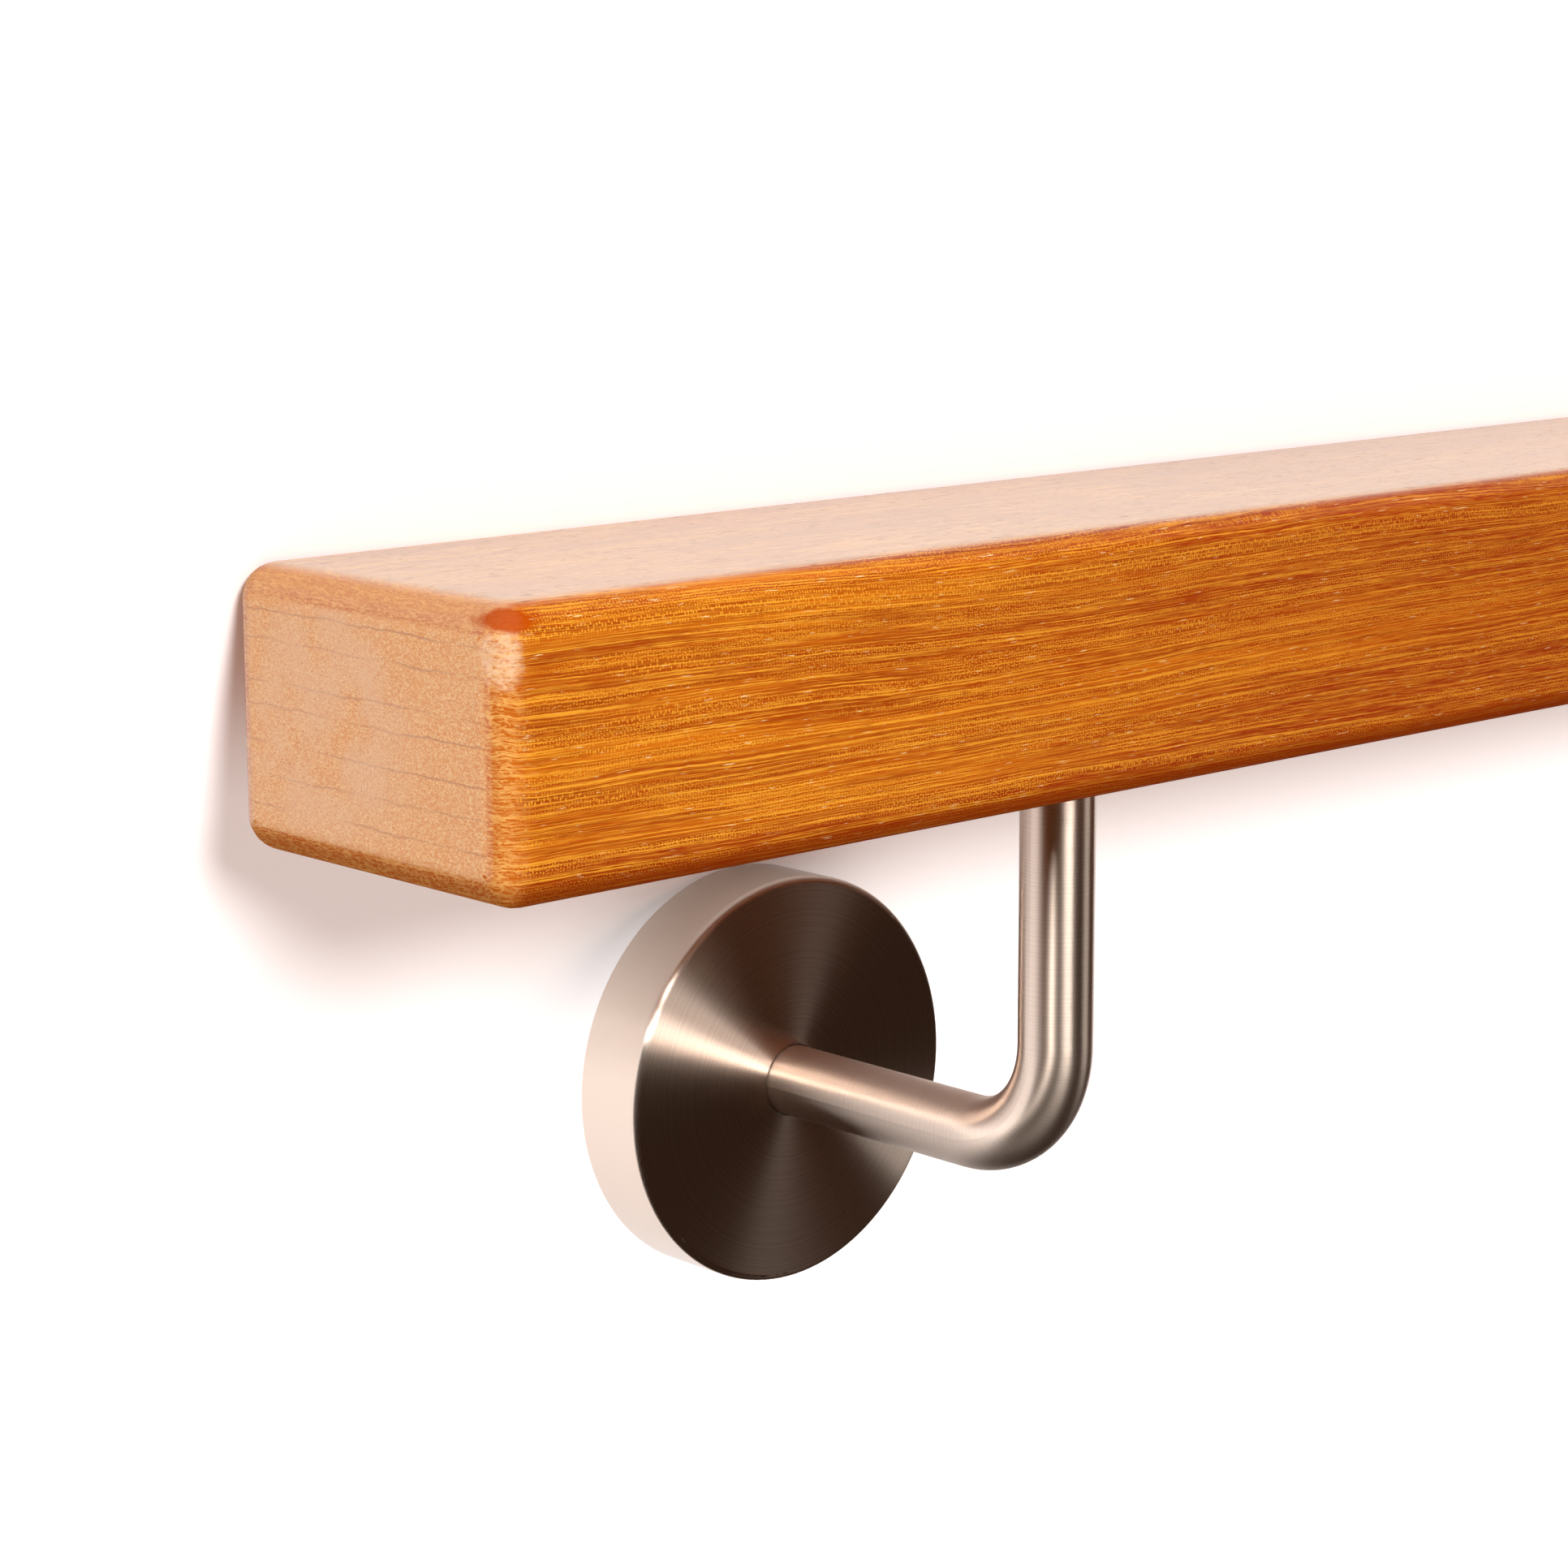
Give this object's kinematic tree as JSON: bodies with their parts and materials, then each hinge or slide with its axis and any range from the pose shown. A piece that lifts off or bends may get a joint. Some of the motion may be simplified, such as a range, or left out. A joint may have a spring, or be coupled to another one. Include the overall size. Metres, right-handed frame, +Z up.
{
  "type": "wall handrail length",
  "caption": "Straight timber handrail with rounded edges, carried off the wall by bent round-bar steel brackets with round cover roses.",
  "frame": {"origin": "centre of the footprint on the floor the part lies on, at floor height", "axes": "+X along the rail, +Z up, +Y from the rail's top towards its brackets; the part lies on its back, so the side that faces the room when it is fixed looks up and the wall side looks down"},
  "size_m": [1, 0.172, 0.0806],
  "materials": {
    "varnished_hardwood": "satin clear varnish",
    "satin_stainless": "satin, brushed along the bar and turned on the rose",
    "zinc_plated_steel": "dull zinc plate"
  },
  "bodies": {
    "root": {"handrail": "varnished_hardwood", "bracket_arm_1": "satin_stainless", "wall_flange_1": "zinc_plated_steel", "cover_rose_1": "satin_stainless", "rail_stud_1": "zinc_plated_steel", "bracket_arm_2": "satin_stainless", "wall_flange_2": "zinc_plated_steel", "cover_rose_2": "satin_stainless", "rail_stud_2": "zinc_plated_steel"}
  },
  "joints": []
}
